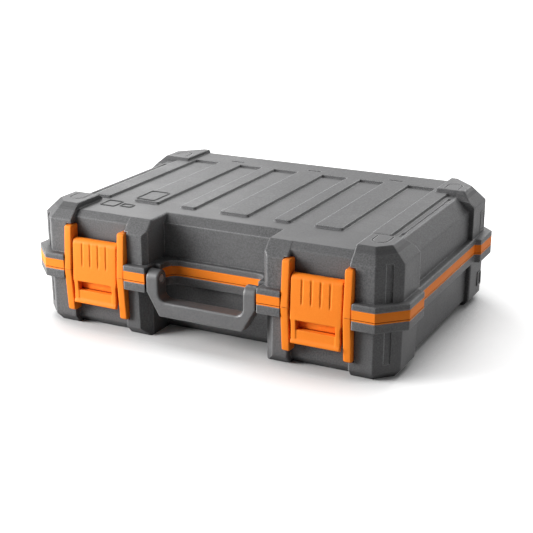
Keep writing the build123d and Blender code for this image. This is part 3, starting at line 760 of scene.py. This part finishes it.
def latch_plate(centre):
    """
    The plate: its front and its back are heights over one grid of places across and up the face.
    Walls join them round the outside and round the slot, whose cells are left out.
    """
    across, up = plate_grid()
    x, height = np.meshgrid(across, up, indexing="ij")
    back = latch_back(height)
    front = np.minimum(latch_face(x, height), back - plate_least)
    number = np.arange(x.size).reshape(x.shape)
    cells = np.stack([number[:-1, :-1], number[1:, :-1], number[1:, 1:], number[:-1, 1:]], -1)
    in_x = (across[:-1] >= -slot_half - hair) & (across[1:] <= slot_half + hair)
    in_up = (up[:-1] >= slot_low - hair) & (up[1:] <= slot_high + hair)
    cells = cells[~(in_x[:, None] & in_up[None, :])]

    def loop(columns, rows):
        """The grid's numbers round an oblong of it, anticlockwise from the front."""
        (i0, i1), (j0, j1) = columns, rows
        there = [number[i0:i1, j0], number[i1, j0:j1]]
        return np.concatenate(there + [number[i1:i0:-1, j1], number[i0, j1:j0:-1]])

    outside = loop((0, len(across) - 1), (0, len(up) - 1))
    slot_columns = np.searchsorted(across, [-slot_half - hair, slot_half - hair])
    slot_rows = np.searchsorted(up, [slot_low - hair, slot_high - hair])
    faces = [cells, cells[:, ::-1] + x.size]
    for edge in (outside, loop(slot_columns, slot_rows)[::-1]):
        after = np.roll(edge, -1)
        faces.append(np.stack([edge, edge + x.size, after + x.size, after], -1))
    slimmer = foot_narrow * ramp(height, *foot_narrow_heights) * ramp(np.abs(x), *foot_narrow_sides)
    place = centre + x - np.sign(x) * slimmer
    sheets = [np.stack([place, sheet, height], -1).reshape(-1, 3) for sheet in (front, back)]
    used, faces = np.unique(np.concatenate(faces), return_inverse=True)
    return np.concatenate(sheets)[used], [faces.reshape(-1, 4)]


for side, way in sides:
    centre = way * latch_centre
    hook_span = (centre - slot_half + hook_inset, centre + slot_half - hook_inset)
    hook = cross_bar(hook_span, (hook_near, hook_far), (slot_low - hook_tall, slot_low), hook_round)
    node = "latch_" + side
    skins = [latch_plate(centre), hook]
    make_piece("latch_plate_" + side, skins, orange_plastic, node, "bright_plastic", node)

# Latch pins
# A blackened rod runs through the barrel at the top of each latch. It is pressed into the upper
# rails at both ends, and the latch swings up on it.
dress(dark_steel, "latch_pin_left", "latch_pin_right")

# Handle
# The carrying handle is one solid moulding in the same charcoal as the shells, polished a little
# by hands. It turns on a pin at each end.
# The grip's edges take more of the paler edge colour, partly polish and partly painted highlight.
grip_charcoal = dict(charcoal, rub=0.2, edge_share=0.9, edge_radius=0.0024, bump=0.2)
grip_charcoal.update(colour=(0.105, 0.105, 0.107, 1), rough=0.36, gloss=0.55)
grip_plastic = moulded_plastic("grip_plastic", grip_charcoal)
dress(grip_plastic, "handle")

# Handle pins
# A turned pin goes through each handle arm into the lid trim. Its head is a thin flange with a
# low dome, sunk in a round seat on the inner side of the arm.
handle_height = 4.5
head_inner = 47.96
dome_rise = 0.65
dome_radius = 2.35
dome_start = 0.04
dome_points = 8
pin_points = 48
shank_radius = 2.5
flange_radius = 4.0
flange_places = (0.7, 0.72, 0.82, 1.2)
flange_round = 0.2
shank_straight = 25.0
shank_length = 25.54
shank_tip = 2.0


def turned_pin(way):
    """A turned pin: a radius for each place along X, carried once round the pin's line."""
    dome = np.linspace(dome_start, math.pi / 2, dome_points)
    flange = [shank_radius, flange_radius - flange_round, flange_radius, flange_radius]
    shank_places = [flange_places[-1], shank_straight, shank_length]
    place = np.concatenate([dome_rise * (1 - np.cos(dome)), flange_places, shank_places])
    radius = np.concatenate([dome_radius * np.sin(dome), flange, [shank_radius, shank_radius, shank_tip]])
    angle = np.linspace(0, 2 * math.pi, pin_points, endpoint=False)
    x = way * (head_inner + place)[:, None] + 0 * angle
    near = pivot_near + radius[:, None] * np.cos(angle)
    return skin(np.stack([x, near, handle_height + radius[:, None] * np.sin(angle)], -1))


# The dark ring round each pin head in its seat is painted shade.
worn_steel = dict(black_steel, rough=0.32, corner_share=1.0, corner=(0.015, 0.015, 0.015, 1))
worn_steel["colour"] = (0.42, 0.42, 0.42, 1)
worn_steel["dark"] = (0.33, 0.33, 0.33, 1)
worn_steel["patch"] = (0.46, 0.46, 0.46, 1)
pin_steel = moulded_plastic("pin_steel", worn_steel)
for side, way in sides:
    node = "handle_pin_" + side
    make_piece("turned_handle_pin_" + side, [turned_pin(way)], pin_steel, "lid", "steel", node)

# Studio
# A plain pale floor under soft lamps: two at the front left, two behind and a weak one on the
# right. The floor and the world read white to the camera and in reflections.
floor_reach = 6.0
paper_white = 0.69
bounce_grey = 0.31
paper_lift = 0.8
lift_start = 0.5
lift_full = 2.5
shadow_reach = 0.12
shadow_depth = 0.3
ambient = 0.05
lamp_side = 0.9
lamp_aim = Vector((0, 0, 0.06))


def seen_straight(tree):
    """1 for what the camera sees, also in reflections and through glass, and 0 for other light."""
    path = put(tree, "ShaderNodeLightPath").outputs
    seen = sums(tree, "ADD", path["Is Camera Ray"], path["Is Glossy Ray"])
    return sums(tree, "ADD", seen, path["Is Transmission Ray"])


floor_mesh = bpy.data.meshes.new("floor")
square = [(-1, -1), (1, -1), (1, 1), (-1, 1)]
floor_mesh.from_pydata([(x * floor_reach, y * floor_reach, 0) for x, y in square], [], [(0, 1, 2, 3)])
floor = bpy.data.objects.new("floor", floor_mesh)
bpy.context.scene.collection.objects.link(floor)
floor_paper = bpy.data.materials.new("floor_paper")
floor_paper.use_nodes = True
tree = floor_paper.node_tree
tree.nodes.clear()
# Painted shadow: the floor's glow is cut where the case hides the sky, as a soft contact shadow.
open_sky = put(tree, "ShaderNodeAmbientOcclusion", {"Distance": shadow_reach}, samples=8).outputs["AO"]
open_sky = between(tree, open_sky, shadow_depth, 1.0)
floor_place = put(tree, "ShaderNodeTexCoord").outputs["Object"]
away = put(tree, "ShaderNodeVectorMath", {0: floor_place}, operation="LENGTH").outputs["Value"]
lift = product(tree, open_sky, between(tree, away, lift_start, lift_full, paper_lift, 1.0))
plain = put(tree, "ShaderNodeBsdfDiffuse", {"Color": (bounce_grey,) * 3 + (1,)})
white = put(tree, "ShaderNodeBsdfDiffuse", {"Color": (paper_white,) * 3 + (1,)})
glow = put(tree, "ShaderNodeEmission", {"Color": (1, 1, 1, 1), "Strength": lift})
lit = put(tree, "ShaderNodeAddShader", {0: white.outputs[0], 1: glow.outputs[0]})
paper_feeds = {0: seen_straight(tree), 1: plain.outputs[0], 2: lit.outputs[0]}
paper = put(tree, "ShaderNodeMixShader", paper_feeds)
put(tree, "ShaderNodeOutputMaterial", {"Surface": paper.outputs[0]})
floor.data.materials.append(floor_paper)

world = bpy.data.worlds.new("world")
world.use_nodes = True
tree = world.node_tree
tree.nodes.clear()
strength = put(tree, "ShaderNodeMix", {0: seen_straight(tree), 2: ambient, 3: 1.0}, data_type="FLOAT")
sky = put(tree, "ShaderNodeBackground", {"Color": (1, 1, 1, 1), "Strength": strength.outputs[0]})
put(tree, "ShaderNodeOutputWorld", {"Surface": sky.outputs[0]})
bpy.context.scene.world = world


def softbox(name, place, power):
    """A square soft lamp at one place, aimed at the middle of the case."""
    data = bpy.data.lights.new(name, "AREA")
    data.size = lamp_side
    data.energy = power
    lamp = bpy.data.objects.new(name, data)
    lamp.location = place
    lamp.rotation_euler = (lamp_aim - Vector(place)).to_track_quat("-Z", "Y").to_euler()
    bpy.context.scene.collection.objects.link(lamp)


softbox("front_left_lamp", place=(-1.3, -1.1, 0.9), power=22.0)
softbox("low_left_lamp", place=(-1.5, -0.95, 0.35), power=45.0)
softbox("left_back_lamp", place=(-1.1, 1.2, 1.2), power=19.0)
softbox("back_lamp", place=(0.2, 1.7, 1.1), power=20.0)
softbox("right_lamp", place=(1.9, 0.15, 0.35), power=8.5)
bpy.context.scene.view_settings.view_transform = "Standard"
